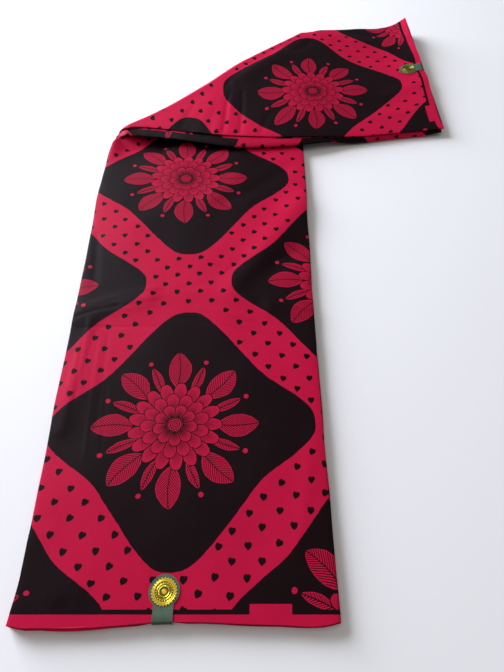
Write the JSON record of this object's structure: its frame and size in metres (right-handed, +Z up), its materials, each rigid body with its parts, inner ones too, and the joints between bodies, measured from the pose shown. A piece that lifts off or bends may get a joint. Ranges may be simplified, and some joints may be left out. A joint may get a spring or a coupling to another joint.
{
  "type": "wax print fabric",
  "caption": "Length of printed cotton cloth folded into a flat strip, turned over once along a diagonal, with a paper label folded over each selvedge.",
  "frame": {"origin": "on the surface that the cloth lies on, below the middle of the whole object's box", "axes": "+Z up from the surface, +Y along the near run away from the near selvedge, +X along the right run towards the other selvedge"},
  "size_m": [0.5092, 0.9658, 0.0289],
  "materials": {
    "printed_cotton": "roller-printed cotton in crimson and black with a light glaze",
    "layered_cotton": "folded edges of the printed cotton",
    "label_paper": "dark green matt label paper",
    "seal_foil": "embossed gold-coloured foil"
  },
  "bodies": {
    "root": {"near_panel": "printed_cotton", "far_panel": "printed_cotton", "lower_edge_folds": "printed_cotton", "near_layers": "layered_cotton", "far_layers": "layered_cotton", "near_label": "label_paper", "far_label": "label_paper", "near_seal": "seal_foil", "far_seal": "seal_foil"}
  },
  "joints": []
}
